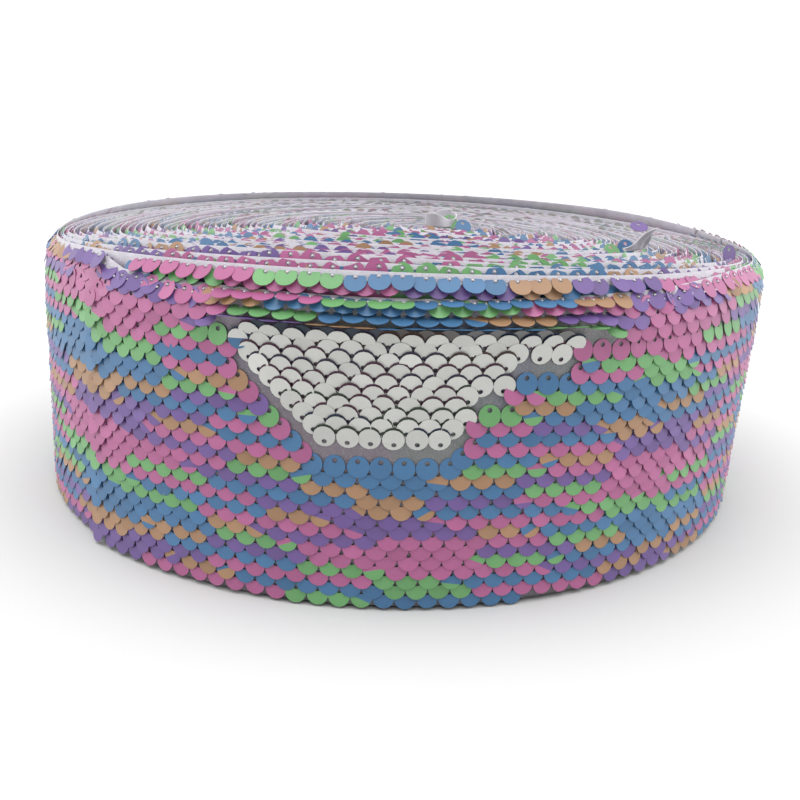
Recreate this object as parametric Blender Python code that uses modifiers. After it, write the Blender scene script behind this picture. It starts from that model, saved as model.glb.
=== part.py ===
"""Roll of reversible sequin trim, 75 mm wide, standing on its edge.

One long strip of net, with discs sewn on its outer face, is wound on itself with no core.
The roll is one solid of the wound form. Its wall widens from the foot to the shoulder and
leans in at the top edge. The outermost turns step down towards the pack at the back and up
to it at the front, where the pack has slid upwards, and one ridge spirals in to the eye.
Three loose stretches of the strip show, and each is a thin sheet: the outer cut end, the
edge of a turn that is pulled up out of the pack, and the crumpled inner end at the eye.

Metres, +Z up. The front of the roll faces -Y. The origin is the middle of the foot.
Angles are in degrees, anticlockwise from +X, seen from above.
"""

import math

import bpy
import numpy as np

MM = 0.001

# The strip and the winding
TURN_PITCH = 1.75 * MM
SHEET_THICKNESS = 1.2 * MM
CLEARANCE = 0.3 * MM

# Where the solid's outermost turn stops, and the loose cut end goes on
STEP_ANGLE = 231.0
STEP_WIDTH = 0.2
CUT_ANGLE = 225.8
OUTER_END_LIFT = 0.9 * MM
OUTER_END_FOOT = 0.4 * MM

# The wall: share of the height at that angle, and radius in mm at the middle of a turn
WALL_PROFILE = (
    (0.000, 108.7),
    (0.016, 109.4),
    (0.160, 109.9),
    (0.370, 110.3),
    (0.560, 110.7),
    (0.595, 110.8),
    (0.740, 111.3),
    (0.905, 111.4),
    (0.935, 111.1),
    (0.965, 110.3),
    (1.000, 108.7),
)
LEAN = 1.4 * MM  # how far the top stands to the right of the middle, and the foot to its left
AXIS = (-1.3 * MM, 1.0 * MM)  # the winding's axis, with the middle of the foot at the origin

# The top edge of the outermost turn: angle, height in mm
RIM_HEIGHTS = (
    (0, 74.0),
    (45, 75.6),
    (90, 75.6),
    (150, 76.0),
    (180, 75.8),
    (235, 76.0),
    (270, 75.8),
    (300, 76.0),
    (322, 76.8),
    (345, 74.9),
)

# The pack's top: height at the middle, then how it slopes and bends along X and Y
PACK_MIDDLE = 76.3 * MM
PACK_RADIUS = 105.0 * MM
PACK_SLOPE = (-1.2 * MM, -6.0 * MM)
PACK_BEND = (-3.4 * MM, 1.5 * MM)

# How far a turn keeps to the rim's height: turns in from the cut end, share
RIM_SHARES = (
    (0.00, 1.00),
    (0.82, 1.00),
    (0.98, 0.33),
    (1.80, 0.33),
    (2.00, 0.10),
    (2.80, 0.05),
    (3.00, 0.00),
)

RIM_TURNS = 3  # turns that step at the rim, each with a flat top
EDGE_ROUNDING = 0.15 * MM

# The ridge that spirals in to the eye stands for every fifth turn
COLUMNS = 72
RIDGE_TURNS = 11
RIDGE_PITCH = 5 * TURN_PITCH
# Across one ridge: share of its pitch, height over the pack in mm
RIDGE_PROFILE = ((0.00, 0.45), (0.22, 0.25), (0.62, -0.75))
EYE = (13.0 * MM, 0.0)
EYE_DEPTH = 1.5 * MM

# The turned-up patch at the front, sunk in its bare net, under rows that stand off the wall
PATCH_TOP = 70.0 * MM
PATCH_FOOT = 44.0 * MM
PATCH_TOP_ANGLES = (250.0, 290.0)
PATCH_FOOT_ANGLES = (259.0, 277.5)
PATCH_SINK = 0.9 * MM
AWNING_HEIGHT = 71.5 * MM
AWNING_REACH = 1.4 * MM

COLOURS = {
    "roll": (0.42, 0.30, 0.48),
    "outer_end": (0.55, 0.32, 0.50),
    "lifted_edge": (0.62, 0.61, 0.62),
    "inner_end": (0.66, 0.65, 0.66),
}


def smooth(share):
    """A step from 0 to 1 with a level start and end."""
    share = np.clip(share, 0.0, 1.0)
    return share * share * (3.0 - 2.0 * share)


def from_table(value, rows):
    """The second column at a value of the first, read smoothly between the rows."""
    keys = np.array([row[0] for row in rows], float)
    results = np.array([row[1] for row in rows], float)
    place = np.clip(np.searchsorted(keys, value, side="right") - 1, 0, len(keys) - 2)
    share = smooth((value - keys[place]) / (keys[place + 1] - keys[place]))
    return results[place] + (results[place + 1] - results[place]) * share


def rim_height(angle):
    """The outermost turn's top edge at an angle, which may be past a full circle."""
    rows = RIM_HEIGHTS + ((360 + RIM_HEIGHTS[0][0], RIM_HEIGHTS[0][1]),)
    return from_table(np.mod(angle, 360.0), rows) * MM


def pack_height(x, y):
    """The smooth top of the pack: a slope and a bend along each axis."""
    across, along = x / PACK_RADIUS, y / PACK_RADIUS
    slope = PACK_SLOPE[0] * across + PACK_SLOPE[1] * along
    bend = PACK_BEND[0] * across**2 + PACK_BEND[1] * along**2
    return PACK_MIDDLE + slope + bend


def turned(radius, angle):
    """X and Y at a radius and an angle."""
    return radius * np.cos(np.radians(angle)), radius * np.sin(np.radians(angle))


def edge_height(radius, angle, turns_in):
    """A turn's top edge: between the rim's height and the pack's, by how far in it is."""
    x, y = turned(radius, angle)
    pack = pack_height(x + LEAN, y)
    return pack + from_table(turns_in, RIM_SHARES) * (rim_height(angle) - pack)


def wall_radius(share, turns_in):
    """The wall's radius at a share of its height, a pitch less for each turn in."""
    profile = np.array(WALL_PROFILE)
    middle = np.interp(share, profile[:, 0], profile[:, 1]) * MM
    return middle + TURN_PITCH * (0.5 - turns_in)


def leaning(points, height):
    """The points moved from left to right in step with their height."""
    points[..., 0] += LEAN * (2.0 * points[..., 2] / height - 1.0)
    return points


def patch_relief(angle, z):
    """How far the wall stands in or out at the turned-up patch and the rows over it."""
    angle, z = np.mod(angle, 360.0), np.asarray(z)
    up = np.clip((z - PATCH_FOOT) / (PATCH_TOP - PATCH_FOOT), 0.0, 1.0)
    left = PATCH_FOOT_ANGLES[0] + (PATCH_TOP_ANGLES[0] - PATCH_FOOT_ANGLES[0]) * up
    right = PATCH_FOOT_ANGLES[1] + (PATCH_TOP_ANGLES[1] - PATCH_FOOT_ANGLES[1]) * up
    inside = (angle > left) & (angle < right)
    sunk = inside & (z > PATCH_FOOT) & (z < PATCH_TOP)
    lifted = inside & (z > PATCH_TOP) & (z < AWNING_HEIGHT + CLEARANCE)
    return np.where(lifted, AWNING_REACH, np.where(sunk, -PATCH_SINK, 0.0))


def turn_angles():
    """One full turn of columns from the step, the last one a hair short of it."""
    angles = STEP_ANGLE + 360.0 * np.arange(COLUMNS + 1) / COLUMNS
    angles[-1] -= STEP_WIDTH
    return angles


def wall_points(angles):
    """Rows of the wall from the foot up, whose radius falls by one pitch over the turn."""
    angles = angles[None, :]
    turns_in = (angles - STEP_ANGLE) / 360.0
    height = edge_height(wall_radius(1.0, turns_in), angles, turns_in)
    share = np.array([row[0] for row in WALL_PROFILE])[:, None]
    z = share * height
    x, y = turned(wall_radius(share, turns_in) + patch_relief(angles, z), angles)
    return leaning(np.stack([x, y, z], axis=-1), height)


def rim_points(angles):
    """The flat tops of the three outermost turns, each stepped towards the pack."""
    rings = []
    for layer in range(RIM_TURNS):
        turns_in = layer + (angles - STEP_ANGLE) / 360.0
        for inwards in (EDGE_ROUNDING, TURN_PITCH - EDGE_ROUNDING):
            radius = wall_radius(1.0, turns_in) - inwards
            x, y = turned(radius, angles)
            z = edge_height(radius, angles, turns_in)
            rings.append(np.stack([x + LEAN, y, z], axis=-1))
    return np.array(rings[1:])


def ridge_points(start_radius):
    """The spiral's points: one row a column, one column a place across the ridge."""
    step = np.arange(COLUMNS * RIDGE_TURNS + 1)[:, None]
    across = np.array([row[0] for row in RIDGE_PROFILE])[None, :]
    over = np.array([row[1] for row in RIDGE_PROFILE])[None, :] * MM
    radius = start_radius - RIDGE_PITCH * (step / COLUMNS + across)
    x, y = turned(radius, STEP_ANGLE + 360.0 * step / COLUMNS)
    inwards = 1.0 - radius / start_radius
    x, y = x + LEAN + EYE[0] * inwards, y + EYE[1] * inwards
    return np.stack([x, y, pack_height(x, y) + over], axis=-1)


def ring_faces(first, second, columns):
    """Quads between two closed rings of point numbers, counted anticlockwise."""
    faces = []
    for column in range(columns + 1):
        after = (column + 1) % (columns + 1)
        faces.append((first[column], first[after], second[after], second[column]))
    return faces


def roll_mesh():
    """The wound form: foot, wall, stepped rim, spiral ridge and eye, closed all round."""
    angles = turn_angles()
    wall, rim = wall_points(angles), rim_points(angles)
    ridge = ridge_points(wall_radius(1.0, RIM_TURNS + 1.0))
    rings = np.concatenate([wall, rim])
    ring_size, places = COLUMNS + 1, len(RIDGE_PROFILE)
    number = np.arange(rings[..., 0].size).reshape(len(rings), ring_size).tolist()
    first_ridge = rings[..., 0].size
    foot = first_ridge + ridge[..., 0].size
    eye = foot + 1

    def on_ridge(step, place=0):
        """The number of a point on the spiral, whose last place is the next turn's first."""
        if place == places:
            step, place = step + COLUMNS, 0
        return first_ridge + step * places + place

    faces = []
    for below, above in zip(number[:-1], number[1:]):
        faces += ring_faces(below, above, COLUMNS)
    inner = number[-1]
    for column in range(COLUMNS):
        faces.append(
            (inner[column], inner[column + 1], on_ridge(column + 1), on_ridge(column))
        )
    for place in range(-1, places):
        outer = inner[0] if place < 0 else on_ridge(0, place)
        faces.append((inner[-1], outer, on_ridge(0, place + 1)))
    last = COLUMNS * (RIDGE_TURNS - 1)
    for step in range(last):
        for place in range(places):
            faces.append(
                (
                    on_ridge(step, place),
                    on_ridge(step + 1, place),
                    on_ridge(step + 1, place + 1),
                    on_ridge(step, place + 1),
                )
            )
    for step in range(last, last + COLUMNS):
        faces.append((on_ridge(step), on_ridge(step + 1), eye))
    for place in range(places):
        faces.append((on_ridge(last, place + 1), on_ridge(last, place), eye))
    for column in range(ring_size):
        after = (column + 1) % ring_size
        faces.append((number[0][after], number[0][column], foot))

    middle = (EYE[0] + LEAN, EYE[1])
    eye_point = (*middle, float(pack_height(*middle)) - EYE_DEPTH)
    points = np.concatenate(
        [rings.reshape(-1, 3), ridge.reshape(-1, 3), [(0.0, 0.0, 0.0), eye_point]]
    )
    return points, faces


def grid_mesh(points):
    """Points and quads of an open surface from its grid of points."""
    rows, columns = points.shape[:2]
    faces = []
    for row in range(rows - 1):
        for column in range(columns - 1):
            corner = row * columns + column
            faces.append((corner, corner + 1, corner + columns + 1, corner + columns))
    return points.reshape(-1, 3), faces


def outer_end_points():
    """The cut end: on from the step, against the turn beneath and lifting to its tip."""
    along = np.linspace(0.0, 1.0, 5)[None, :]
    up = np.array([row[0] for row in WALL_PROFILE])[:, None]
    root = STEP_ANGLE - STEP_WIDTH - math.degrees(CLEARANCE / wall_radius(1.0, 1.0))
    angles = root + (CUT_ANGLE - root) * along
    beneath = edge_height(wall_radius(1.0, 1.0), angles, 1.0)
    top = rim_height(STEP_ANGLE) + (beneath - rim_height(STEP_ANGLE)) * smooth(along)
    z = OUTER_END_FOOT + (top - OUTER_END_FOOT) * up
    away = CLEARANCE + 0.5 * SHEET_THICKNESS + OUTER_END_LIFT * along**2
    x, y = turned(wall_radius(z / beneath, 1.0) + away, angles)
    return leaning(np.stack([x, y, z], axis=-1), beneath)


def lifted_edge_points():
    """The edge of one turn pulled up into a pointed hump that leans outwards."""
    along = np.linspace(-1.0, 1.0, 9)[None, :]
    up = np.linspace(0.0, 1.0, 5)[:, None]
    half_length, rise, lean = 9.5 * MM, 7.0 * MM, 5.0 * MM
    radius, middle = 78.0 * MM, -31.0
    hump = smooth(1.0 - np.abs(along))
    angles = middle + np.degrees(half_length / radius) * along
    x, y = turned(radius + lean * hump * up**1.5, angles)
    x = x + LEAN
    root_x, root_y = turned(radius, angles)
    root = pack_height(root_x + LEAN, root_y) + RIDGE_PROFILE[0][1] * MM + CLEARANCE
    return np.stack([x, y, root + rise * up * (0.12 + 0.88 * hump)], axis=-1)


def inner_end_points():
    """The inner end at the eye: a short strip in an open curl, crumpled along its top."""
    along = np.linspace(0.0, 1.0, 11)[None, :]
    up = np.linspace(0.0, 1.0, 4)[:, None]
    rise, first_radius, last_radius = 4.6 * MM, 8.0 * MM, 3.0 * MM
    radius = first_radius + (last_radius - first_radius) * along
    angles = 70.0 + 300.0 * along
    crumple = 0.8 * MM * np.sin(np.radians(900.0 * along)) * up
    x, y = turned(radius + crumple, angles)
    x, y = x + EYE[0] + LEAN, y + EYE[1]
    root = PACK_MIDDLE + 0.8 * MM
    z = root + rise * up * (0.75 + 0.25 * np.cos(np.radians(700.0 * along)))
    return np.stack([x, y, z], axis=-1)


def material(name):
    """A plain matt finish in the node's colour."""
    made = bpy.data.materials.new(name)
    made.use_nodes = True
    shader = made.node_tree.nodes["Principled BSDF"]
    shader.inputs["Base Color"].default_value = (*COLOURS[name], 1.0)
    shader.inputs["Roughness"].default_value = 0.55
    shader.inputs["Metallic"].default_value = 0.0
    return made


def add_object(name, points, faces, collection):
    """A named object of those faces, round the winding's axis, with its own material."""
    mesh = bpy.data.meshes.new(name)
    mesh.from_pydata(np.asarray(points).tolist(), [], faces)
    mesh.validate()
    made = bpy.data.objects.new(name, mesh)
    made.data.materials.append(material(name))
    made.location = (*AXIS, 0.0)
    collection.objects.link(made)
    return made


def add_sheet(name, grid, collection):
    """A loose stretch of the strip: its surface with half the thickness on each side."""
    made = add_object(name, *grid_mesh(grid), collection)
    wall = made.modifiers.new("thickness", "SOLIDIFY")
    wall.thickness = SHEET_THICKNESS
    wall.offset = 0.0
    return made


def main():
    """Clears the file's objects and builds the roll and its three loose stretches."""
    for old in list(bpy.data.objects):
        bpy.data.objects.remove(old)
    collection = bpy.data.collections.new("sequin trim roll")
    bpy.context.scene.collection.children.link(collection)
    roll = add_object("roll", *roll_mesh(), collection)
    roll.data.shade_smooth()
    roll.data.set_sharp_from_angle(angle=math.radians(35.0))
    add_sheet("outer_end", outer_end_points(), collection)
    add_sheet("lifted_edge", lifted_edge_points(), collection)
    add_sheet("inner_end", inner_end_points(), collection)


main()
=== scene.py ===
"""Looks of the roll of reversible sequin trim: net, sewn discs, clear thread, light and camera.

The strip is one spiral of net, and every disc is placed on it by its row and its number along
the strip. Shapes are worked out in millimetres round the winding's axis. Angles are in
degrees, anticlockwise from +X, seen from above, and go on past a full circle along the strip.
"""

import math

import bpy
import numpy as np
from mathutils import Matrix


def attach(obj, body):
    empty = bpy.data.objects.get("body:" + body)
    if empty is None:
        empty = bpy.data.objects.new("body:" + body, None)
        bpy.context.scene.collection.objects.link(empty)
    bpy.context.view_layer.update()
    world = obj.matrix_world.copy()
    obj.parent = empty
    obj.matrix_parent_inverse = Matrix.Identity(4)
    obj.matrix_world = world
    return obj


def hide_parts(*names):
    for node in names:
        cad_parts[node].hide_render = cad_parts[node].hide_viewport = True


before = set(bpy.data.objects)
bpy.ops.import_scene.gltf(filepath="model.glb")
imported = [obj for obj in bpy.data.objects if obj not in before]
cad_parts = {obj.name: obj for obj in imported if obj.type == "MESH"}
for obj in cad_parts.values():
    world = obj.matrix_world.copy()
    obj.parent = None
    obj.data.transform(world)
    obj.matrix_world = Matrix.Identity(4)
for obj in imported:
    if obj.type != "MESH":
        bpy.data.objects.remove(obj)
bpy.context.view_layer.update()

MM = 0.001
AXIS = (-1.3, 1.0)  # the winding's axis, with the middle of the foot at the origin
draw = np.random.default_rng(11)

# The winding. Its wall, its rim and its top are as in the part's source
TURN_PITCH = 1.75
STEP_ANGLE = 231.0  # where each turn ends and the next one starts
CUT_ANGLE = 225.8
CUT_LIFT = 0.45  # how far the cut end stands off the turn beneath it
LEAN = 1.4  # how far the top stands to the right of the middle, and the foot to its left
EYE = 13.0  # how far the eye is to the right of the axis
PACK_START = 102.6  # turns inside this radius shift towards the eye
MIDDLE_RADIUS = 110.8  # the outermost turn's, a little over halfway up the wall
LAST_RADIUS = 4.6
# Share of the rim's height, radius at the middle of a turn
WALL_PROFILE = (
    (0.000, 108.7),
    (0.016, 109.4),
    (0.160, 109.9),
    (0.370, 110.3),
    (0.560, 110.7),
    (0.595, 110.8),
    (0.740, 111.3),
    (0.905, 111.4),
    (0.935, 111.1),
    (0.965, 110.3),
    (1.000, 108.7),
)
# The outermost turn's top edge: angle, height
RIM_HEIGHTS = (
    (0, 74.0),
    (45, 75.6),
    (90, 75.6),
    (150, 76.0),
    (180, 75.8),
    (235, 76.0),
    (270, 75.8),
    (300, 76.0),
    (322, 76.8),
    (345, 74.9),
    (360, 74.0),
)
# The pack's top: its height in the middle, then how much it slopes and bends along X and Y
PACK_MIDDLE = 76.3
PACK_RADIUS = 105.0
PACK_SLOPE = (-1.2, -6.0)
PACK_BEND = (-3.4, 1.5)
EDGE_WAVE = 55.0  # degrees from one height of a turn's uneven edge to the next
# How far a turn keeps to the rim's height: turns in, share
RIM_SHARES = ((0.0, 1.0), (0.82, 1.0), (0.98, 0.33), (1.8, 0.33), (2.0, 0.1), (2.8, 0.05), (3.0, 0.0))

# The net
NET_HEIGHT = 75.2  # from its foot to its top edge, at most
NET_FOOT = 0.35  # the lowest that its foot stands above the ground
NET_STEP = 5.2  # between its points along the strip
NET_THICKNESS = 0.22
LOOSE_NET_THICKNESS = 0.3
# Its rows of points, as shares of its height, closer at the foot and at the top edge
NET_ROWS = (0.0, 0.03, 0.2, 0.55, 0.85, 0.945, 1.0)

# The sewn discs
DISC_RADIUS = 2.62
DISC_THICKNESS = 0.13
HOLE_RADIUS = 0.62
HOLE_OFFSET = 1.3  # from the disc's middle to its hole's
DISC_PITCH = 5.3
FIRST_DISC = 0.14  # pitches from the cut end to an even row's first disc
ROWS = 29
FIRST_ROW = 3.0
ROW_PITCH = 2.575
LOWEST_DISC = 2.3  # discs with their middle under this would reach into the floor
LAST_ROW_DROP = 2.4  # the topmost row's middle, under the strip's edge
INNER_ROW_DROP = 2.25  # the same on the inner turns, on average
HOLE_LIFT = 0.32  # a hole's middle off the middle of the net
TOP_ROWS = 27  # discs from this row up hang less evenly, and their knots show
PLAIN_FROM = 5.0  # discs from this turn in have no hole, as none shows
KNOT_LIFT = 0.5  # a knot's middle off the middle of the net
KNOT_RADIUS = 0.42

# One string of discs repeats this run of colours: colour, discs
STRING = (("peach", 3), ("lilac", 5), ("pink", 8), ("green", 4), ("blue", 7))
STRING_LENGTH = sum(count for _, count in STRING)
WIDEST_RADIUS = 111.4  # the wall's, for the angle that one disc takes up
# Angle at which the peach run starts on each row of the wall. Even rows run as in STRING and
# odd rows run the other way, so that the two sets of diagonal bands cross
EVEN_ROW_STARTS = (216.5, 227.5, 240.5, 248.7, 256.6, 266.7, 279.6, 292.9, 301.0, 309.0, 318.7)
EVEN_ROW_STARTS += (332.0, 343.5, 353.5, 365.0)
ODD_ROW_STARTS = (316.5, 306.5, 295.8, 281.9, 268.1, 259.9, 251.4, 241.5, 226.6, 212.8, 203.9)
ODD_ROW_STARTS += (195.8, 187.0, 172.8)
# The bands meet across the cut: the rule drifts by this much on the way round, and the top
# rows of the second turn have drifts of their own
TURN_DRIFT = -8.0
SECOND_TURN_SHIFTS = {27: 29.5, 28: -16.0, 26: 12.0}
LONG_RUNS = 238.0  # the runs are longer left of this angle, on both sides of the cut

# The turned-up patch: row, its first and last angle
PATCH_ROWS = (
    (14, 261.0, 276.2),
    (15, 259.6, 277.4),
    (16, 257.8, 278.6),
    (17, 256.4, 279.6),
    (18, 255.0, 281.0),
    (19, 253.7, 282.6),
    (20, 252.4, 282.2),
    (21, 250.3, 283.0),
    (22, 250.0, 290.0),
    (23, 251.4, 292.0),
    (24, 251.8, 291.0),
)
PATCH_RISE = 1.95  # how far a turned-up disc slides up on its thread
PATCH_LEAN = 79.0  # degrees above level
# The rows pressed down by the bulge above them: row, drop, degrees above level
PRESSED_ROWS = {23: (0.2, 66.0), 24: (1.6, 62.0)}
SHADED_ROW = 24  # the bulge's shadow falls on this row of the patch
# The bulge over the patch: row, degrees below level, rise
BULGE_ROWS = {25: (-10.0, 1.1), 26: (19.0, 1.0), 27: (37.0, 1.2), 28: (12.0, 0.6)}
# How many more degrees the top rows lean out: on the wall, and on the second turn in front
WALL_LEANS = {28: 26.0, 27: 18.0, 26: 8.0}
SECOND_LEANS = {28: 28.0, 27: 16.0}
FRONT_ANGLE = 271.0  # the middle of the front
# The share of run ends with a disc in both colours
TWO_TONE_SHARE = 0.34
# A two-tone disc takes its colours from its own angle and from just short of the next disc's
NEXT_COLOUR = 2.7


def smooth(share):
    """A step from 0 to 1 with a level start and end."""
    share = np.clip(share, 0.0, 1.0)
    return share * share * (3.0 - 2.0 * share)


def from_table(value, rows):
    """The second column at a value of the first, read smoothly between the rows."""
    table = np.array(rows, float)
    place = np.clip(np.searchsorted(table[:, 0], value, side="right") - 1, 0, len(table) - 2)
    first, after = table[place], table[place + 1]
    share = smooth((value - first[..., 0]) / (after[..., 0] - first[..., 0]))
    return first[..., 1] + (after[..., 1] - first[..., 1]) * share


def between(knots, place):
    """The height at a place in a row of knots, read smoothly from one knot to the next."""
    first = np.floor(place).astype(int)
    return knots[first] + (knots[first + 1] - knots[first]) * smooth(place - first)


def drawn_wave(values, spacing):
    """A smooth random curve from -1 to 1 along the values, with a new height each spacing."""
    place = values / spacing
    return between(draw.uniform(-1.0, 1.0, int(np.max(place)) + 3), place)


def rim_height(angle):
    """The outermost turn's top edge."""
    return from_table(np.mod(angle, 360.0), RIM_HEIGHTS)


def inward_share(turns):
    """0 on the outer turns, rising to 1 at the eye."""
    return np.clip(1.0 - (WALL_PROFILE[-1][1] - TURN_PITCH * turns) / PACK_START, 0.0, 1.0)


def towards_cut(turns):
    """1 at the cut end, falling evenly to 0 at the outermost turn's start and below 0 past it."""
    return -turns * 360.0 / (STEP_ANGLE - CUT_ANGLE)


def pack_height(x, y):
    """The pack's top over a point: its middle, plus a slope and a bent part along X and Y."""
    across, along = x / PACK_RADIUS, y / PACK_RADIUS
    pack = PACK_MIDDLE + PACK_SLOPE[0] * across + PACK_SLOPE[1] * along
    return pack + PACK_BEND[0] * across**2 + PACK_BEND[1] * along**2


def pack_edge(angle, turns):
    """A turn's top edge before its own unevenness: between the rim's height and the pack's."""
    radius = WALL_PROFILE[-1][1] + TURN_PITCH * (0.5 - turns)
    x = radius * np.cos(np.radians(angle)) + LEAN + EYE * inward_share(turns)
    pack = pack_height(x, radius * np.sin(np.radians(angle)))
    return pack + from_table(turns, RIM_SHARES) * (rim_height(angle) - pack)


edge_knots = draw.uniform(-1.0, 1.0, 500)


def top_edge(angle, turns):
    """A turn's top edge. The cut end climbs to the turn beneath it, and inner turns are uneven."""
    edge = pack_edge(angle, turns)
    edge = edge + smooth(towards_cut(turns)) * (pack_edge(angle, turns + 1.0) - edge)
    uneven = between(edge_knots, (angle - CUT_ANGLE) / EDGE_WAVE)
    return edge + 0.9 * uneven * (0.12 + 0.88 * smooth((turns - 1.6) / 1.4))


def turn_wobble(angle, turns):
    """How far a turn strays from a true spiral.

    Three waves of 2, 5 and 11 to a turn, which shift a little from turn to turn. They start
    after the first turn, are full from the fifth and die away towards the eye.
    """
    around = np.radians(angle)
    waves = 0.8 * np.sin(2 * around + 0.21 * turns + 1.0)
    waves = waves + 0.45 * np.sin(5 * around + 0.43 * turns + 2.0)
    waves = waves + 0.25 * np.sin(11 * around - 0.6 * turns)
    room = smooth((turns - 1.0) / 4.0) * np.clip((62.0 - turns) / 14.0, 0.0, 1.0)
    return room * waves


def strip_place(angle, turns, z, out=0.0):
    """X, Y, Z on the strip.

    The radius is the wall's at that height, less a pitch for each turn in, plus the wobble,
    the cut end's lift and the way out from the net. The lean and the eye's shift go along X.
    """
    share = np.clip(z / rim_height(angle), 0.0, 1.0)
    profile = np.array(WALL_PROFILE)
    radius = np.interp(share, profile[:, 0], profile[:, 1]) - TURN_PITCH * turns
    cut = np.clip(towards_cut(turns), 0.0, 1.0)
    radius = radius + turn_wobble(angle, turns) + CUT_LIFT * cut**2 + out
    x = radius * np.cos(np.radians(angle)) + LEAN * (2.0 * share - 1.0) + EYE * inward_share(turns)
    return np.stack(np.broadcast_arrays(x, radius * np.sin(np.radians(angle)), z), axis=-1)


def along_strip(distance):
    """Angle and turns in at a distance from the cut end.

    The radius falls evenly, by one pitch a turn. So the distance is the angle times the first
    radius, less half the angle squared times the fall for each radian.
    """
    tighten = TURN_PITCH / (2.0 * math.pi)
    start = MIDDLE_RADIUS + tighten * math.radians(STEP_ANGLE - CUT_ANGLE)
    around = (start - np.sqrt(start**2 - 2.0 * tighten * distance)) / tighten
    angle = CUT_ANGLE + np.degrees(around)
    return angle, (angle - STEP_ANGLE) / 360.0


def strip_length():
    """The strip's length: the area between its first and last circle, over the pitch."""
    tighten = TURN_PITCH / (2.0 * math.pi)
    return (MIDDLE_RADIUS**2 - LAST_RADIUS**2) / (2.0 * tighten)


# Colours


def linear(hex_colour):
    """Linear red, green, blue and 1 from an sRGB hex value."""
    channels = np.array([int(hex_colour[i : i + 2], 16) for i in (1, 3, 5)]) / 255.0
    low, high = channels / 12.92, ((channels + 0.055) / 1.055) ** 2.4
    return (*np.where(channels <= 0.04045, low, high).tolist(), 1.0)


FILM = {
    "peach": linear("#A17D5E"),
    "lilac": linear("#6B538F"),
    "pink": linear("#AA5E8A"),
    "green": linear("#689F65"),
    "blue": linear("#416E97"),
}
COLOURS = tuple(FILM)
PALETTE = np.array([FILM[name] for name in COLOURS])
# One string's colours, disc by disc, by their numbers in COLOURS
STRING_ORDER = np.repeat([COLOURS.index(name) for name, _ in STRING], [count for _, count in STRING])


def string_colour(row, angle):
    """The number in COLOURS of a disc by its row and its angle along the strip.

    The disc's place on its string is its angle from the row's start, less the drift, over one
    disc's angle on the wall. The string's order repeats along it, backwards on odd rows.
    """
    starts = np.empty(ROWS)
    starts[0::2], starts[1::2] = EVEN_ROW_STARTS, ODD_ROW_STARTS
    step = math.degrees(DISC_PITCH / WIDEST_RADIUS)
    shift = TURN_DRIFT * smooth((angle - 400.0) / 140.0)
    left = np.where(angle < 300.0, LONG_RUNS - angle, LONG_RUNS + 360.0 - angle)
    stretch = np.where(angle < 300.0, 1.0, smooth((angle - 500.0) / 50.0)) * (angle < 600.0)
    shift = shift - 0.4 * np.clip(left, 0.0, 45.0) * stretch
    second = (angle > CUT_ANGLE + 366.0) & (angle < CUT_ANGLE + 740.0)
    for shifted_row, by in SECOND_TURN_SHIFTS.items():
        shift = np.where(second & (row == shifted_row), by, shift)
    place = np.floor((angle - starts[row] - shift) / step + 0.5).astype(int)
    place = np.where(row % 2 == 0, place, 2 - place) % STRING_LENGTH
    return STRING_ORDER[place]


# Meshes


def add_node(tree, kind, settings=None, **links):
    """One node with its settings and its linked or plain inputs, by input name or number."""
    node = tree.nodes.new(kind)
    for name, value in (settings or {}).items():
        setattr(node, name, value)
    for name, value in links.items():
        socket = node.inputs[int(name[1:]) if name[1:].isdigit() else name.replace("_", " ")]
        if isinstance(value, bpy.types.NodeSocket):
            tree.links.new(value, socket)
        else:
            socket.default_value = value
    return node


def add_piece(name, points, faces, materials, smooth_faces=False, indices=None, values=None):
    """A mesh object from points in millimetres round the axis, riding on the roll."""
    mesh = bpy.data.meshes.new(name)
    points = (np.asarray(points).reshape(-1, 3) + (*AXIS, 0.0)) * MM
    counts = np.array([len(face) for face in faces]) if isinstance(faces, list) else None
    corners = np.concatenate(faces) if counts is not None else faces.reshape(-1)
    if counts is None:
        counts = np.full(len(faces), faces.shape[1])
    mesh.vertices.add(len(points))
    mesh.vertices.foreach_set("co", points.ravel())
    mesh.loops.add(len(corners))
    mesh.loops.foreach_set("vertex_index", corners.astype(np.int32))
    mesh.polygons.add(len(counts))
    mesh.polygons.foreach_set("loop_start", np.concatenate([[0], np.cumsum(counts)[:-1]]))
    mesh.polygons.foreach_set("use_smooth", np.full(len(counts), smooth_faces))
    for each in materials:
        mesh.materials.append(each)
    if indices is not None:
        mesh.polygons.foreach_set("material_index", np.asarray(indices, np.int32))
    for label, data in (values or {}).items():
        data = np.asarray(data, float)
        kind = "FLOAT" if data.ndim == 1 else "FLOAT_COLOR"
        stored = mesh.attributes.new(label, kind, "POINT")
        stored.data.foreach_set("value" if data.ndim == 1 else "color", data.ravel())
    mesh.update(calc_edges=True)
    mesh.validate()
    made = bpy.data.objects.new(name, mesh)
    bpy.context.scene.collection.objects.link(made)
    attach(made, "root")
    return made


def grid_faces(rows, columns):
    """Quads of a grid of points, stored row by row."""
    corner = (np.arange(rows - 1)[:, None] * columns + np.arange(columns - 1)[None, :]).ravel()
    return np.stack([corner, corner + 1, corner + columns + 1, corner + columns], axis=1)


def thicken(piece, thickness):
    """Gives a sheet its thickness, half on each side, with closed rims."""
    wall = piece.modifiers.new("thickness", "SOLIDIFY")
    wall.thickness = thickness * MM
    wall.offset = 0.0


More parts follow.
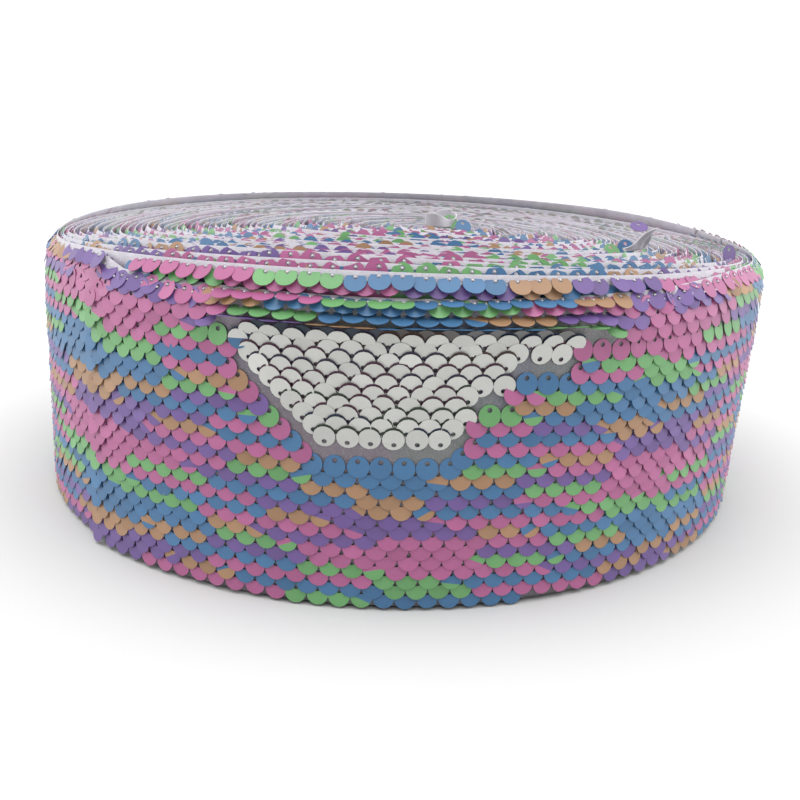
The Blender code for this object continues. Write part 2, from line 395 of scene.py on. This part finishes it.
def disc_template(sides, hole_sides):
    """A thin round plate with its hole up from the middle: points, faces, reverse faces.

    An outer and a hole ring on the front, the same on the back, joined by two rims. Every
    second outer point meets one point of the hole, by a triangle and a four-sided face. With
    no hole, the front and the back are one face each.
    """
    outer = 2.0 * math.pi * (np.arange(sides) + 0.5) / sides
    inner = 2.0 * math.pi * (np.arange(hole_sides) + 0.5) / max(hole_sides, 1)
    ring = np.stack([np.cos(outer), np.sin(outer)], axis=1) * DISC_RADIUS
    hole = np.stack([np.cos(inner), np.sin(inner)], axis=1) * HOLE_RADIUS + (0.0, HOLE_OFFSET)
    flat = np.concatenate([ring, hole])
    half = np.full((len(flat), 1), DISC_THICKNESS / 2.0)
    points = np.concatenate([np.hstack([flat, half]), np.hstack([flat, -half])])
    front, rims, back = [], [], len(flat)
    for side in range(sides):
        after = (side + 1) % sides
        rims.append([after, side, back + side, back + after])
        if hole_sides:
            ratio = sides // hole_sides
            at, next_hole = sides + side // ratio, sides + (side // ratio + 1) % hole_sides
            ends = [at] if (side + 1) % ratio else [next_hole, at]
            front.append([side, after, *ends])
    for side in range(hole_sides):
        at, after = sides + side, sides + (side + 1) % hole_sides
        rims.append([at, after, back + after, back + at])
    if not hole_sides:
        front.append(list(range(sides)))
    reverse = [[back + number for number in face[::-1]] for face in front]
    return points, front + rims + reverse, [0] * len(front + rims) + [1] * len(reverse)


def repeated(template, places):
    """Copies of a template: each place holds an origin and three axes as rows."""
    points, faces = template[:2]
    copies = places[:, None, 0] + np.einsum("pk,nkc->npc", points, places[:, 1:])
    corners = np.concatenate([np.array(face) for face in faces])
    counts = np.array([len(face) for face in faces])
    corners = corners[None, :] + (np.arange(len(places)) * len(points))[:, None]
    cuts = np.cumsum(np.tile(counts, len(places)))[:-1]
    return copies.reshape(-1, 3), np.split(corners.ravel(), cuts)


def disc_places(angle, turns, z, slope, turn, yaw, turned_up=False):
    """Origins and axes of discs that hang by their holes on the strip's outer face.

    slope is how far a disc points below level, in degrees, or above it when turned up. turn
    swings it about its hole in its own plane, and yaw turns it about the upright. The axes are
    the disc's side, the way from its middle to its hole, and the face that shows.
    """
    sign = 1.0 if turned_up else -1.0
    rise = PATCH_RISE if turned_up else 0.0
    facing, tilt, swing = np.radians(angle + yaw), np.radians(slope)[:, None], np.radians(turn)
    level = np.zeros(len(facing))
    outwards = np.stack([np.cos(facing), np.sin(facing), level], axis=-1)
    across = np.stack([-np.sin(facing), np.cos(facing), level], axis=-1)
    upwards = np.array([0.0, 0.0, 1.0])
    away = outwards * np.cos(tilt) + sign * upwards * np.sin(tilt)
    away = away * np.cos(swing)[:, None] + across * np.sin(swing)[:, None]
    normal = outwards * np.sin(tilt) - sign * upwards * np.cos(tilt)
    hole = strip_place(angle, turns, z + HOLE_OFFSET + rise, HOLE_LIFT)
    middle = hole + HOLE_OFFSET * away
    return np.stack([middle, np.cross(-away, normal), -away, normal], axis=1)


def behind(places, back, up):
    """The same places moved back from the face that shows, and up."""
    moved = places.copy()
    moved[:, 0] += (0.0, 0.0, up) - back * places[:, 3]
    return moved


# Materials


def new_material(name):
    """A material with its tree and its shader."""
    made = bpy.data.materials.new(name)
    made.use_nodes = True
    return made, made.node_tree, made.node_tree.nodes["Principled BSDF"]


def film_material(name, colour):
    """Polyester film, cut and coloured matt: even, with a slight wave and a soft shine."""
    made, tree, shader = new_material(name)
    place = add_node(tree, "ShaderNodeTexCoord").outputs["Object"]
    tone = add_node(tree, "ShaderNodeAttribute", {"attribute_name": "tone"}).outputs["Fac"]
    # Broad cloudiness of the coating, about 2 mm across
    cloud = add_node(tree, "ShaderNodeTexNoise", Vector=place, Scale=500.0, Detail=2.0)
    light = add_node(
        tree, "ShaderNodeMath", {"operation": "MULTIPLY_ADD"}, _0=tone, _1=0.16, _2=0.93
    ).outputs[0]
    light = add_node(
        tree, "ShaderNodeMath", {"operation": "MULTIPLY_ADD"}, _0=cloud.outputs[0], _1=0.1, _2=light
    ).outputs[0]
    tint = add_node(tree, "ShaderNodeHueSaturation", Value=light, Color=colour)
    tree.links.new(tint.outputs[0], shader.inputs["Base Color"])
    bump = add_node(
        tree, "ShaderNodeBump", Strength=0.06, Distance=0.0002, Height=cloud.outputs[0]
    )
    tree.links.new(bump.outputs[0], shader.inputs["Normal"])
    shader.inputs["Roughness"].default_value = 0.42
    shader.inputs["IOR"].default_value = 1.5
    return made


def two_tone_and_painted_shade_material():
    """The same film where a string changes colour: two colours with one straight edge.

    The discs of painted shade have it too, with one dark colour on both sides of the edge.
    """
    made, tree, shader = new_material("two-tone and painted-shade polyester film")
    first = add_node(tree, "ShaderNodeAttribute", {"attribute_name": "first"})
    second = add_node(tree, "ShaderNodeAttribute", {"attribute_name": "second"})
    side = add_node(tree, "ShaderNodeAttribute", {"attribute_name": "side"})
    over = add_node(
        tree, "ShaderNodeMath", {"operation": "GREATER_THAN"}, _0=side.outputs["Fac"], _1=0.0
    )
    mixed = add_node(
        tree,
        "ShaderNodeMix",
        {"data_type": "RGBA"},
        _0=over.outputs[0],
        _6=first.outputs["Color"],
        _7=second.outputs["Color"],
    )
    tree.links.new(mixed.outputs[2], shader.inputs["Base Color"])
    shader.inputs["Roughness"].default_value = 0.42
    shader.inputs["IOR"].default_value = 1.5
    return made


def net_material():
    """Nylon net, knitted fine and greyish lilac: the film behind it shows as a faint tint."""
    made, tree, shader = new_material("knitted nylon net")
    place = add_node(tree, "ShaderNodeTexCoord").outputs["Object"]
    # Meshes about 0.4 mm across
    mesh = add_node(
        tree, "ShaderNodeTexVoronoi", {"feature": "DISTANCE_TO_EDGE"}, Vector=place, Scale=2600.0
    )
    thread = add_node(
        tree, "ShaderNodeMapRange", Value=mesh.outputs[0], _1=0.02, _2=0.22, _3=1.0, _4=0.0
    ).outputs[0]
    tint = add_node(tree, "ShaderNodeAttribute", {"attribute_name": "behind"}).outputs["Color"]
    cloud = add_node(tree, "ShaderNodeTexNoise", Vector=place, Scale=260.0, Detail=3.0)
    # Painted paler towards the top edge: partly painted light from above on the roll's top, partly
    # where no disc darkens the net from behind
    edge = add_node(tree, "ShaderNodeAttribute", {"attribute_name": "pale"}).outputs["Fac"]
    shades = []
    for low, high in (("#66646A", "#ABA7B1"), ("#848287", "#CBC8D0")):
        shades.append(
            add_node(
                tree,
                "ShaderNodeMix",
                {"data_type": "RGBA"},
                _0=edge,
                _6=linear(low),
                _7=linear(high),
            ).outputs[2]
        )
    through = add_node(tree, "ShaderNodeMapRange", Value=edge, _3=0.18, _4=0.5).outputs[0]
    ground = add_node(
        tree, "ShaderNodeMix", {"data_type": "RGBA"}, _0=through, _6=shades[0], _7=tint
    ).outputs[2]
    knitted = add_node(
        tree, "ShaderNodeMix", {"data_type": "RGBA"}, _0=thread, _6=ground, _7=shades[1]
    ).outputs[2]
    light = add_node(
        tree, "ShaderNodeMapRange", Value=cloud.outputs[0], _3=0.82, _4=1.15
    ).outputs[0]
    shaded = add_node(tree, "ShaderNodeHueSaturation", Value=light, Color=knitted)
    tree.links.new(shaded.outputs[0], shader.inputs["Base Color"])
    bump = add_node(tree, "ShaderNodeBump", Strength=0.4, Distance=0.0002, Height=thread)
    tree.links.new(bump.outputs[0], shader.inputs["Normal"])
    shader.inputs["Roughness"].default_value = 0.7
    shader.inputs["IOR"].default_value = 1.53
    return made


def thread_material():
    """Clear nylon monofilament: glassy, with small bright glints."""
    made, tree, shader = new_material("clear nylon thread")
    place = add_node(tree, "ShaderNodeTexCoord").outputs["Object"]
    cloud = add_node(tree, "ShaderNodeTexNoise", Vector=place, Scale=1500.0)
    ramp = add_node(
        tree,
        "ShaderNodeMix",
        {"data_type": "RGBA"},
        _0=cloud.outputs[0],
        _6=linear("#A9A5AB"),
        _7=linear("#F2F1F4"),
    )
    tree.links.new(ramp.outputs[2], shader.inputs["Base Color"])
    shader.inputs["Roughness"].default_value = 0.12
    shader.inputs["IOR"].default_value = 1.53
    shader.inputs["Coat Weight"].default_value = 0.6
    return made


film = {name: film_material(name + " polyester film", colour) for name, colour in FILM.items()}
white_film = film_material("white polyester film", linear("#C6C7C2"))
two_tone_and_painted_shade_film = two_tone_and_painted_shade_material()
net = net_material()
thread = thread_material()


# The net


def behind_tint(angle, from_edge):
    """The colours of the discs sewn on the far side of the net, by row and angle."""
    row = np.clip(ROWS - 1 - np.floor(np.maximum(from_edge - 2.5, 0.0) / ROW_PITCH), 0, ROWS - 1)
    colours = PALETTE[string_colour(row.astype(int), angle)]
    pale = linear("#DAD6DF")
    return np.where((from_edge < 0.3)[..., None], pale, colours)


def strip_grid(distance, shares):
    """Points of the net, their tint, and how pale they are: fully so at the top edge.

    The points stand at distances along the strip and at shares of its height.
    """
    angle, turns = along_strip(distance)
    angle, turns = angle[None, :], turns[None, :]
    edge = top_edge(angle, turns)
    foot = np.maximum(NET_FOOT, edge - NET_HEIGHT)
    z = foot + (edge - foot) * np.asarray(shares)[:, None]
    angle, turns = np.broadcast_to(angle, z.shape), np.broadcast_to(turns, z.shape)
    # Paler over the top 9 mm of the net, partly as painted light from above
    pale = smooth(1.0 - (edge - z) / 9.0)
    return strip_place(angle, turns, z), behind_tint(angle, edge - z), pale


length = strip_length()
grid, tint, pale = strip_grid(np.linspace(0.0, length, int(length / NET_STEP)), NET_ROWS)
strip = add_piece(
    "net",
    grid,
    grid_faces(*grid.shape[:2]),
    [net],
    smooth_faces=True,
    values={"behind": tint.reshape(-1, 4), "pale": pale.ravel()},
)
thicken(strip, NET_THICKNESS)
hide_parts("roll", "outer_end")


# The discs


def drifting_rows(angle):
    """How far the rows sit above their even places round the wall."""
    rows = ((225, 0.3), (247, 0.5), (262, 0.0), (281, 0.0), (300, -2.0), (330, -2.0), (360, 0.0))
    return from_table(np.clip(np.mod(angle - 180.0, 360.0) + 180.0, 225.0, 360.0), rows)


def disc_numbers(first_turn, last_turn, row):
    """Angles of one row's discs between two turns, staggered by half a pitch on odd rows."""
    distance = np.arange(FIRST_DISC + 0.5 * (row % 2), length / DISC_PITCH) * DISC_PITCH
    angle, turns = along_strip(distance)
    kept = (turns >= first_turn) & (turns < last_turn)
    return angle[kept], turns[kept]


def patch_discs(row, angle, turns):
    """Which discs of a row are turned up."""
    for patch_row, first, last in PATCH_ROWS:
        if patch_row == row:
            return (turns < 0.5) & (angle > first) & (angle < last)
    return np.zeros(len(angle), bool)


def disc_slope(row, angle, turns):
    """How far a disc points below level, and how far it is raised.

    Steep on the wall, less so at the sides and on the rounded top, and lifted over the patch.
    On the inner turns it leans out by 21 degrees, and by more on the second turn in front.
    """
    away = np.abs(np.mod(angle, 360.0) - FRONT_ANGLE)
    lean = 7.0 + 7.0 * smooth((away - 25.0) / 25.0)
    lean = lean + WALL_LEANS.get(row, 0.0)
    raised = smooth((60.0 - away) / 25.0) * smooth((1.97 - turns) / 0.1)
    second = 21.0 + raised * SECOND_LEANS.get(row, 0.0)
    lean = np.where(turns < 1.0, lean, second)
    slope, rise = 90.0 - lean, np.zeros(len(angle))
    if row in BULGE_ROWS:
        share = smooth((angle - 243.0) / 7.0) * smooth((301.0 - angle) / 9.0) * (turns < 0.7)
        slope = slope + share * (BULGE_ROWS[row][0] - slope)
        rise = share * BULGE_ROWS[row][1]
    return slope + draw.normal(0.0, 1.6, len(angle)), rise


# Rows kept on each stretch of the winding: first and last turn, lowest row
STRETCHES = ((-0.1, 0.988, 0), (1.0, 2.1, 25), (2.1, PLAIN_FROM, 27), (PLAIN_FROM, 62.0, 28))
hanging = {name: ([], []) for name in COLOURS}  # with a hole, and plain ones on inner turns
two_tone, turned_up, shaded, holes = [], [], [], []
for first_turn, last_turn, lowest in STRETCHES:
    for row in range(lowest, ROWS):
        angle, turns = disc_numbers(first_turn, last_turn, row)
        colour = string_colour(np.full(len(angle), row), angle)
        edge = top_edge(angle, turns)
        # The upper rows climb with the strip's edge, and the topmost one hangs from it
        climb = smooth((row - 12.0) / 13.0)
        z = FIRST_ROW + ROW_PITCH * row + climb * (edge - rim_height(angle))
        if row == ROWS - 1:
            z = edge - LAST_ROW_DROP + (LAST_ROW_DROP - INNER_ROW_DROP) * smooth(turns - 1.2)
            uneven = 0.45 * drawn_wave(angle - angle[0], 70.0) + draw.normal(0.0, 0.22, len(angle))
            z = z + uneven * smooth(turns - 1.5)
        # The wall's rows drift under 69 mm, and fully so under 63 mm
        z = z + drifting_rows(angle) * (turns < 1.0) * smooth((69.0 - z) / 6.0)
        slope, rise = disc_slope(row, angle, turns)
        loose = 1.0 + 1.6 * (row >= TOP_ROWS)
        turn = draw.normal(0.0, 4.0 * loose, len(angle))
        yaw = draw.normal(0.0, 2.5 * loose, len(angle))
        z = z + rise + draw.normal(0.0, 0.07 * loose, len(angle))
        up = patch_discs(row, angle, turns)
        on = ~up & (z > LOWEST_DISC)
        places = disc_places(angle[on], turns[on], z[on], slope[on], turn[on], yaw[on])
        shown = colour[on]
        after = string_colour(np.full(on.sum(), row), angle[on] + NEXT_COLOUR)
        mixed = (after != shown) & (draw.random(on.sum()) < TWO_TONE_SHARE) & (turns[on] < 1.0)
        two_tone.append((places[mixed], shown[mixed], after[mixed]))
        for number, name in enumerate(COLOURS):
            hanging[name][int(first_turn >= PLAIN_FROM)].append(places[(shown == number) & ~mixed])
        if row >= TOP_ROWS and first_turn < PLAIN_FROM:
            holes.append(strip_place(angle, turns, z + HOLE_OFFSET, KNOT_LIFT))
        if up.any():
            drop, lean = PRESSED_ROWS.get(row, (0.0, PATCH_LEAN))
            lean = lean + draw.normal(0.0, 1.5, up.sum())
            steady = (angle[up], turns[up], z[up] - drop, lean, 2.0 * turn[up])
            upright = disc_places(*steady, yaw[up], turned_up=True)
            shade = PALETTE[colour[up]]
            if row == SHADED_ROW:
                # Painted shade: these white discs lie in the bulge's shadow, dark and tinted with
                # their own colour at the left, pale grey at the right
                pale = smooth((angle[up] - 262.0) / 26.0)[:, None]
                shaded.append((upright, shade * 0.1 * (1.0 - pale) + 0.16 * pale))
            else:
                # Painted shadow: a dark copy in the disc's own colour, a little behind and above each
                # disc, stands for the shadow at its upper edge
                turned_up.append(upright)
                shaded.append((behind(upright, 0.17, 0.5), shade * (0.14, 0.1, 0.14, 1.0)))

# Loose discs on the top: X, Y, Z round the axis, the way they face, how far up, colour
LOOSE_DISCS = (
    (95.5, -38.5, 76.8, -60.0, 12.0, "lilac"),
    (16.0, -2.5, 78.6, -100.0, 35.0, "green"),
    (20.5, -5.0, 77.6, -80.0, 40.0, "blue"),
    (64.5, -43.0, 78.2, -75.0, 25.0, "blue"),
    (70.0, -33.5, 83.2, -90.0, 65.0, "lilac"),
    (60.0, -46.5, 77.8, -60.0, 45.0, "green"),
)
for x, y, z, facing, up, name in LOOSE_DISCS:
    around, above = math.radians(facing), math.radians(up)
    outwards = np.array([math.cos(around), math.sin(around), 0.0])
    normal = outwards * math.cos(above) + (0.0, 0.0, math.sin(above))
    towards = np.array([0.0, 0.0, math.cos(above)]) - outwards * math.sin(above)
    place = np.stack([np.array([x, y, z]), np.cross(towards, normal), towards, normal])
    hanging[name][0].append(place[None])

plate, plain_plate = disc_template(16, 8), disc_template(12, 0)
for name in COLOURS:
    pieces, offset = [], 0
    for template, group in ((plate, hanging[name][0]), (plain_plate, hanging[name][1])):
        places = np.concatenate(group)
        points, faces = repeated(template, places)
        tone = np.clip(draw.normal(0.0, 0.35, len(places)), -1.0, 1.0)
        tone = np.repeat(tone, len(template[0]))
        faces = [face + offset for face in faces]
        pieces.append((points, faces, template[2] * len(places), tone))
        offset += len(points)
    points, faces, reverse, tone = (list(each) for each in zip(*pieces))
    add_piece(
        "sequins_" + name,
        np.concatenate(points),
        faces[0] + faces[1],
        [film[name], white_film],
        indices=np.concatenate(reverse),
        values={"tone": np.concatenate(tone)},
    )



def for_points(values):
    """Values of discs with holes, given to all the points of each."""
    return np.repeat(values, len(plate[0]), axis=0)


def add_discs(name, places, material, values):
    """A piece of discs with holes, all in one material."""
    points, faces = repeated(plate, places)
    add_piece(name, points, faces, [material], values=values)


places = np.concatenate(turned_up)
tone = for_points(np.clip(draw.normal(0.0, 0.3, len(places)), -1.0, 1.0))
add_discs("sequins_white", places, white_film, {"tone": tone})

places, first, second = (np.concatenate(each) for each in zip(*two_tone))
first, second = for_points(PALETTE[first]), for_points(PALETTE[second])
# The two colours meet on a slanting line, most often below the disc's middle
slant = draw.uniform(-0.6, 0.6, (len(places), 1))
side = plate[0][:, 1] + slant * plate[0][:, 0] + draw.uniform(-0.2, 1.4, (len(places), 1))
values = {"first": first, "second": second, "side": side.ravel()}
add_discs("sequins_two_tone", places, two_tone_and_painted_shade_film, values)

# Painted shade: dark copies for the shadows between the white discs, and the row darkened in the
# bulge's shadow
places, shade = (np.concatenate(each) for each in zip(*shaded))
shade = for_points(shade)
values = {"first": shade, "second": shade, "side": np.zeros(len(shade))}
add_discs("sequins_shaded", places, two_tone_and_painted_shade_film, values)


# The thread


def bead_template(radius):
    """A small knot: an eight-faced ball, squashed a little."""
    points = np.array([(1, 0, 0), (0, 1, 0), (-1, 0, 0), (0, -1, 0), (0, 0, 0.8), (0, 0, -0.8)])
    faces = [[0, 1, 4], [1, 2, 4], [2, 3, 4], [3, 0, 4], [1, 0, 5], [2, 1, 5], [3, 2, 5], [0, 3, 5]]
    return points * radius, faces


middles = np.concatenate(holes)
spun = draw.uniform(0.0, 2.0 * math.pi, len(middles))
none = np.zeros(len(middles))
axes = (
    (np.cos(spun), np.sin(spun), none),
    (-np.sin(spun), np.cos(spun), none),
    (none, none, none + 1.0),
)
axes = np.stack([np.stack(axis, axis=-1) for axis in axes], axis=1)
places = np.concatenate([middles[:, None], axes], axis=1)
points, faces = repeated(bead_template(KNOT_RADIUS), places)
add_piece("thread_knots", points, faces, [thread], smooth_faces=True)


# The lifted edge and the inner end


def sheet_piece(name, points, node):
    """A loose stretch of the strip from its grid of points, in place of its solid."""
    rows, columns = points.shape[:2]
    # Painted near white all over: partly the net's own pale side, partly painted light, as the sheet
    # faces the weak light from the front
    white = np.tile(linear("#F0EEF2"), (rows * columns, 1))
    made = add_piece(
        name,
        points,
        grid_faces(rows, columns),
        [net],
        smooth_faces=True,
        values={"behind": white, "pale": np.ones(rows * columns)},
    )
    thicken(made, LOOSE_NET_THICKNESS)
    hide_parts(node)


# The lifted edge stands in an arc on its turn, and rises and leans out most in its middle
LIFTED_RADIUS = 78.0
LIFTED_ANGLE = -31.0
LIFTED_HALF_LENGTH = 9.5
LIFTED_HEIGHT = 7.0
along = np.linspace(-1.0, 1.0, 61)[None, :]
up = np.linspace(0.0, 1.0, 13)[:, None]
hump = smooth(1.0 - np.abs(along))
angle = np.radians(LIFTED_ANGLE + np.degrees(LIFTED_HALF_LENGTH / LIFTED_RADIUS) * along)
root_x, root_y = LIFTED_RADIUS * np.cos(angle) + 2.0 * LEAN, LIFTED_RADIUS * np.sin(angle)
radius = LIFTED_RADIUS + 5.0 * hump * up**1.5 + 0.5 * np.sin(9.0 * along + 2.0 * up) * up
z = pack_height(root_x, root_y) + 0.75 + LIFTED_HEIGHT * up * (0.12 + 0.88 * hump)
points = np.stack([radius * np.cos(angle) + LEAN, radius * np.sin(angle), z], axis=-1)
sheet_piece("lifted_net", points, "lifted_edge")

# The inner end curls inwards round the eye, crumpled more towards its top
along = np.linspace(0.0, 1.0, 91)[None, :]
up = np.linspace(0.0, 1.0, 11)[:, None]
radius = 8.0 - 5.0 * along + 0.8 * np.sin(np.radians(900.0 * along)) * up
angle = np.radians(70.0 + 300.0 * along)
z = PACK_MIDDLE + 0.8 + 4.6 * up * (0.75 + 0.25 * np.cos(np.radians(700.0 * along)))
points = np.stack([radius * np.cos(angle) + EYE + LEAN, radius * np.sin(angle), z], axis=-1)
sheet_piece("inner_net", points, "inner_end")


# Floor, light and camera


def add_floor():
    """A plain pale floor, far wider than the roll and just under it."""
    mesh = bpy.data.meshes.new("floor")
    reach, level = 40.0, -2e-4
    corners = [(-reach, -reach), (reach, -reach), (reach, reach), (-reach, reach)]
    mesh.from_pydata([(*corner, level) for corner in corners], [], [(0, 1, 2, 3)])
    floor_object = bpy.data.objects.new("floor", mesh)
    bpy.context.scene.collection.objects.link(floor_object)
    made, tree, shader = new_material("matt white card")
    place = add_node(tree, "ShaderNodeTexCoord").outputs["Object"]
    grain = add_node(tree, "ShaderNodeTexNoise", Vector=place, Scale=300.0)
    light = add_node(tree, "ShaderNodeMapRange", Value=grain.outputs[0], _3=0.985, _4=1.0)
    tint = add_node(tree, "ShaderNodeHueSaturation", Value=light.outputs[0], Color=linear("#D6D6D6"))
    tree.links.new(tint.outputs[0], shader.inputs["Base Color"])
    shader.inputs["Roughness"].default_value = 0.9
    mesh.materials.append(made)


def add_world():
    """Soft light from all round: bright from the sides and the back, weak from the front.

    Its strength rises with Y, from 0.02 at the front to 1.02 just past the middle, and 2.2
    times the fourth power of X is added.
    """
    world = bpy.data.worlds.new("studio")
    bpy.context.scene.world = world
    world.use_nodes = True
    tree = world.node_tree
    direction = add_node(tree, "ShaderNodeTexCoord").outputs["Generated"]
    parts = add_node(tree, "ShaderNodeSeparateXYZ", Vector=direction)
    depth = add_node(
        tree, "ShaderNodeMapRange", Value=parts.outputs["Y"], _1=-1.0, _2=0.2, _3=0.02, _4=1.02
    ).outputs[0]
    sides = add_node(
        tree, "ShaderNodeMath", {"operation": "POWER"}, _0=parts.outputs["X"], _1=4.0
    ).outputs[0]
    strength = add_node(
        tree, "ShaderNodeMath", {"operation": "MULTIPLY_ADD"}, _0=sides, _1=2.2, _2=depth
    )
    background = tree.nodes["Background"]
    background.inputs["Color"].default_value = (1.0, 1.0, 1.0, 1.0)
    tree.links.new(strength.outputs[0], background.inputs["Strength"])


def add_sun():
    """A wide soft light from above."""
    data = bpy.data.lights.new("overhead softbox", "SUN")
    data.energy = 2.2
    data.angle = math.radians(70.0)
    lamp = bpy.data.objects.new("overhead softbox", data)
    lamp.rotation_euler = (math.radians(12.0), 0.0, 0.0)
    bpy.context.scene.collection.objects.link(lamp)


def add_camera():
    """The photo's view: 14.7 degrees above level, 333 mm away, rolled by 1.8 degrees."""
    elevation, roll_angle = math.radians(14.7), math.radians(1.79)
    focal_pixels, photo_pixels = 988.0, 800.0
    data = bpy.data.cameras.new("camera")
    data.sensor_width = 36.0
    data.lens = focal_pixels / photo_pixels * data.sensor_width
    data.shift_x = 0.00525
    data.shift_y = -0.0734
    camera = bpy.data.objects.new("camera", data)
    right = np.array([1.0, 0.0, 0.0])
    up_axis = np.array([0.0, math.sin(elevation), math.cos(elevation)])
    forward = np.array([0.0, math.cos(elevation), -math.sin(elevation)])
    turned = np.eye(4)
    turned[:3, 0] = math.cos(roll_angle) * right + math.sin(roll_angle) * up_axis
    turned[:3, 1] = math.cos(roll_angle) * up_axis - math.sin(roll_angle) * right
    turned[:3, 2] = -forward
    turned[:3, 3] = (-0.0013, -0.32075, 0.12191)
    camera.matrix_world = Matrix(turned.tolist())
    bpy.context.scene.collection.objects.link(camera)
    bpy.context.scene.camera = camera


add_floor()
add_world()
add_sun()
add_camera()
bpy.context.scene.view_settings.view_transform = "Standard"
